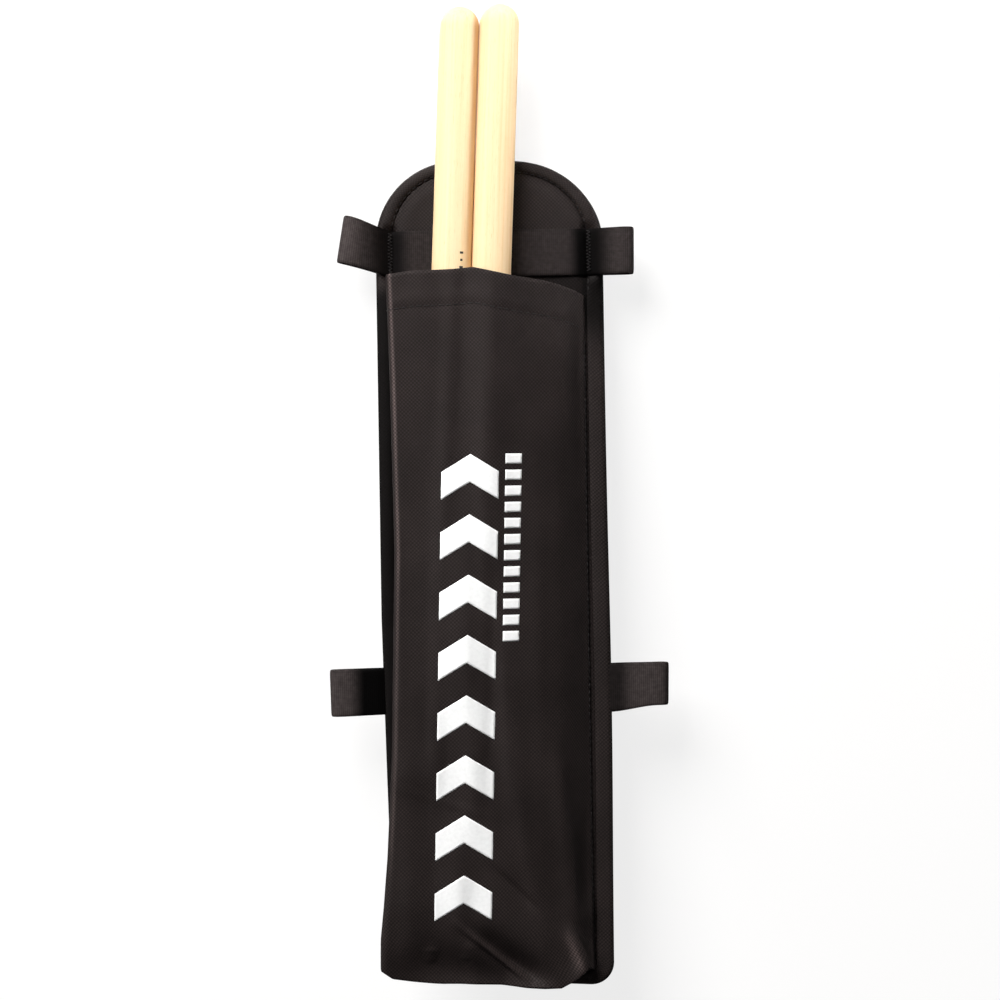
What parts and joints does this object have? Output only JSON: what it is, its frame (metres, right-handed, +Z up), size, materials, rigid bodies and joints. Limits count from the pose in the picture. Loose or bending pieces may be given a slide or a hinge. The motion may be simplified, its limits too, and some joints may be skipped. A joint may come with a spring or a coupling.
{
  "type": "drum stick bag",
  "caption": "Flat marching drum stick bag: a boxed cloth pocket on a padded panel, a pair of drum sticks in it, and elastic loops that slip over a drum's tension rods.",
  "frame": {"origin": "middle of the panel's back face, which rests on the drum", "axes": "+Z up to the pocket's mouth, +Y out of the panel's back face towards the drum, +X to the right as seen from the pocket's side"},
  "size_m": [0.156, 0.0295, 0.4503],
  "materials": {
    "cloth": "matt black polyester twill",
    "elastic": "matt black ribbed elastic",
    "thread": "black polyester thread",
    "foam": "closed-cell foam",
    "ink": "white screen-printed ink",
    "wood": "clear-lacquered pale hickory"
  },
  "bodies": {
    "bag": {"back_cloth": "cloth", "foam_core": "foam", "face_cloth": "cloth", "edge_binding": "cloth", "binding_stitching": "thread", "pocket_front": "cloth", "pocket_left_gusset": "cloth", "pocket_right_gusset": "cloth", "pocket_floor": "cloth", "mouth_hem": "cloth", "mouth_hem_stitching": "thread", "gusset_stitching": "thread", "printed_mark": "ink", "upper_elastic_band": "elastic", "upper_band_tacks": "thread", "lower_elastic_band": "elastic", "lower_band_tacks": "thread"},
    "upper_left_loop": {"upper_left_loop": "elastic"},
    "upper_right_loop": {"upper_right_loop": "elastic"},
    "lower_left_loop": {"lower_left_loop": "elastic"},
    "lower_right_loop": {"lower_right_loop": "elastic"},
    "left_stick": {"left_stick": "wood"},
    "right_stick": {"right_stick": "wood"}
  },
  "joints": [
    {"name": "upper_left_loop_fold", "type": "hinge", "parent": "bag", "child": "upper_left_loop", "pos_m": [-0.054, -0.0055, 0.1496], "axis": [0, 0, -1], "range_deg": [-60, 60], "stiffness_Nm_per_rad": 0.003},
    {"name": "upper_right_loop_fold", "type": "hinge", "parent": "bag", "child": "upper_right_loop", "pos_m": [0.054, -0.0055, 0.148], "axis": [0, 0, 1], "range_deg": [-60, 60], "stiffness_Nm_per_rad": 0.003},
    {"name": "lower_left_loop_fold", "type": "hinge", "parent": "bag", "child": "lower_left_loop", "pos_m": [-0.054, -0.0011, -0.0534], "axis": [0, 0, -1], "range_deg": [-60, 75], "stiffness_Nm_per_rad": 0.003},
    {"name": "lower_right_loop_fold", "type": "hinge", "parent": "bag", "child": "lower_right_loop", "pos_m": [0.054, -0.0011, -0.0534], "axis": [0, 0, 1], "range_deg": [-60, 75], "stiffness_Nm_per_rad": 0.003},
    {"name": "left_stick_draw", "type": "slide", "parent": "bag", "child": "left_stick", "axis": [0.0483, 0, 0.9988], "range_m": [0, 0.33]},
    {"name": "right_stick_draw", "type": "slide", "parent": "bag", "child": "right_stick", "axis": [0.0483, 0, 0.9988], "range_m": [0, 0.33]}
  ]
}
